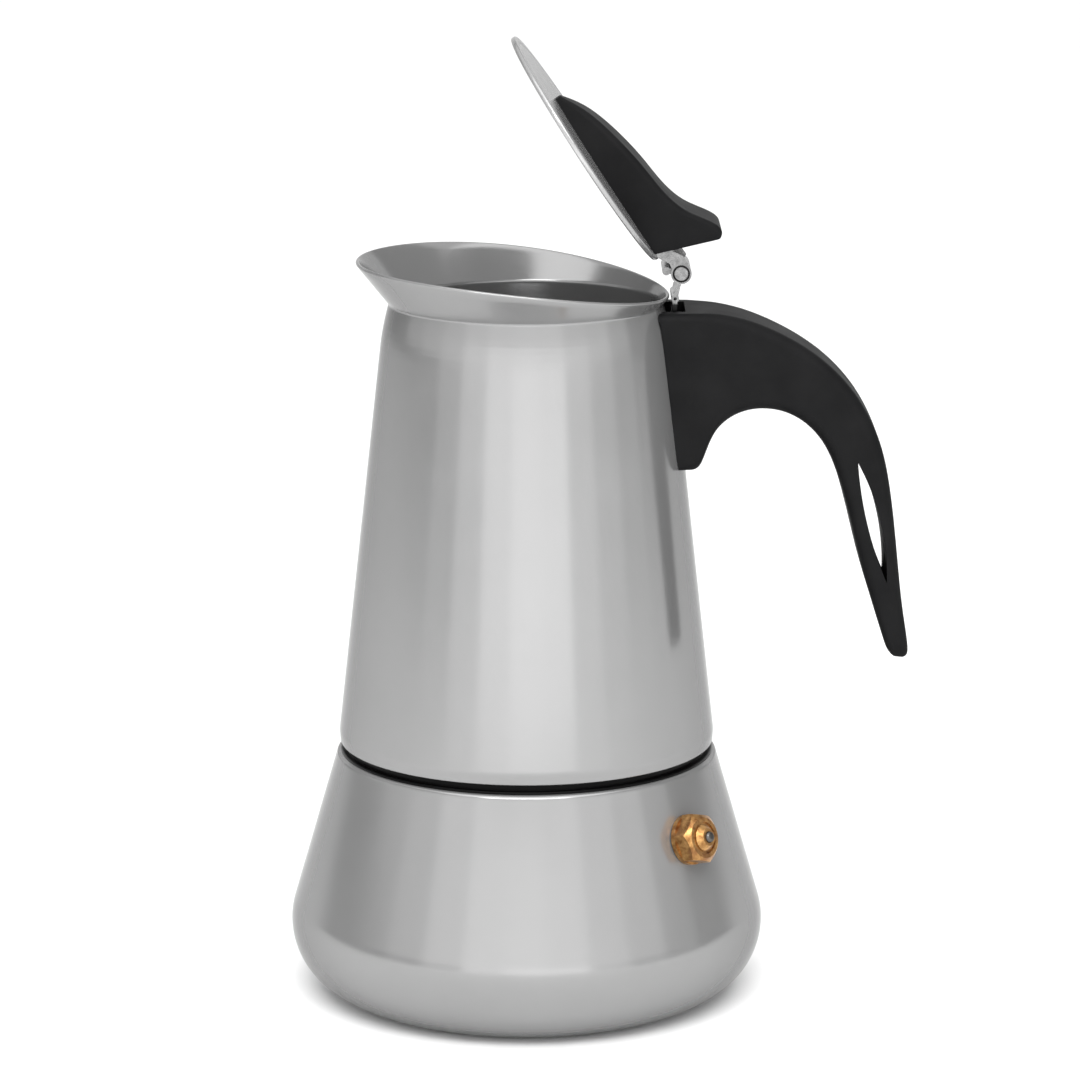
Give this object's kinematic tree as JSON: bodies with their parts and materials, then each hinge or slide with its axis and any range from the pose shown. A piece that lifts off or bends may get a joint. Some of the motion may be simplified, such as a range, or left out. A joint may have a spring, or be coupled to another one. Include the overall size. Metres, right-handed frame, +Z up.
{
  "type": "moka pot",
  "caption": "Stovetop moka pot: conical steel boiler with a brass safety valve, tall upper chamber with a flared spout rim, black arched handle and a hinged lid standing open.",
  "frame": {"origin": "centre of the boiler's flat bottom, on the pot's axis", "axes": "+Z up along the pot's axis, +X towards the handle, lid pin along Y; stored with the halves screwed together and the lid standing open"},
  "size_m": [0.1364, 0.105, 0.2126],
  "materials": {
    "polished_steel": "satin polish",
    "lid_steel": "satin polish",
    "machined_steel": "satin",
    "bracket_steel": "stamped, bright",
    "spring_steel": "dark, satin",
    "plain_aluminium": "matte",
    "brass": "cast and turned, mottled",
    "black_plastic": "satin, fine grain",
    "black_silicone": "glossy",
    "white_silicone": "satin"
  },
  "bodies": {
    "boiler": {"boiler_shell": "polished_steel", "neck_ring": "machined_steel", "seam_ring": "black_silicone", "funnel_cup": "plain_aluminium", "funnel_stem": "plain_aluminium", "funnel_screen": "plain_aluminium", "valve_body": "brass", "valve_seal_washer": "white_silicone", "valve_back_nut": "brass", "valve_spring": "spring_steel"},
    "valve_poppet": {"valve_pin": "spring_steel"},
    "seal": {"gasket": "white_silicone", "filter_plate": "machined_steel"},
    "upper": {"upper_shell": "polished_steel", "upper_floor": "machined_steel", "thread_collar": "machined_steel", "riser_tube": "machined_steel", "riser_cap": "machined_steel", "handle_bracket": "bracket_steel", "handle": "black_plastic", "handle_screw": "bracket_steel", "hinge_bracket": "bracket_steel", "hinge_pin": "bracket_steel"},
    "lid": {"lid_plate": "lid_steel", "lid_hinge_leaf": "bracket_steel", "lid_knob": "black_plastic", "lid_screw": "bracket_steel"}
  },
  "joints": [
    {"name": "thread_rise", "type": "slide", "parent": "boiler", "child": "seal", "axis": [0, 0, 1], "range_m": [0, 0.0075]},
    {"name": "upper_unscrew", "type": "hinge", "parent": "seal", "child": "upper", "pos_m": [0, 0, 0], "axis": [0, 0, 1], "range_deg": [0, 750]},
    {"name": "lid_hinge", "type": "hinge", "parent": "upper", "child": "lid", "pos_m": [0.0335, 0, 0.1621], "axis": [0, 1, 0], "range_deg": [-60, 72]},
    {"name": "valve_lift", "type": "slide", "parent": "boiler", "child": "valve_poppet", "axis": [0.7357, -0.6174, 0.2785], "range_m": [0, 0.0015], "stiffness_N_per_m": 500, "springref_m": -0.0016, "deforming": ["valve_spring"]}
  ],
  "couplings": [
    {"joint": "thread_rise", "follows": "upper_unscrew", "m_per_rad": 0.00055704}
  ]
}
